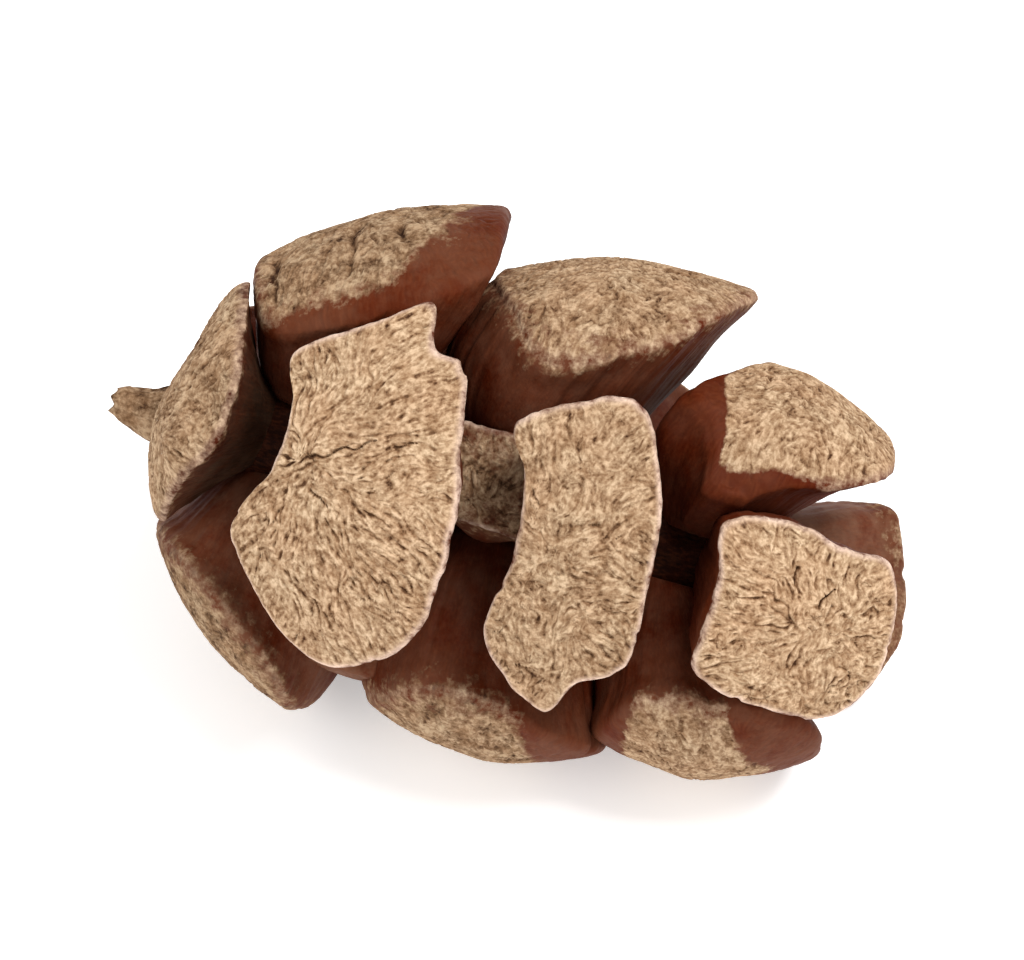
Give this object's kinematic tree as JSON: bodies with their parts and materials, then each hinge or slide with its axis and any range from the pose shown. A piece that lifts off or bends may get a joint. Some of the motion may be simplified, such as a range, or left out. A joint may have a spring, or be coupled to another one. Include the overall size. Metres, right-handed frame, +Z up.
{
  "type": "cypress cone",
  "caption": "Dry, opened cypress cone, elongated, with shield-shaped scales in crossed pairs on a woody axis, lying on its side.",
  "frame": {"origin": "centre of the footprint of the cone as it lies, on the surface it rests on", "axes": "+X from the stalk end toward the tip, +Z up, -Y toward the viewer"},
  "size_m": [0.04, 0.0242, 0.0242],
  "materials": {
    "cypress_wood": "matte"
  },
  "bodies": {
    "root": {"cone": "cypress_wood"}
  },
  "joints": []
}
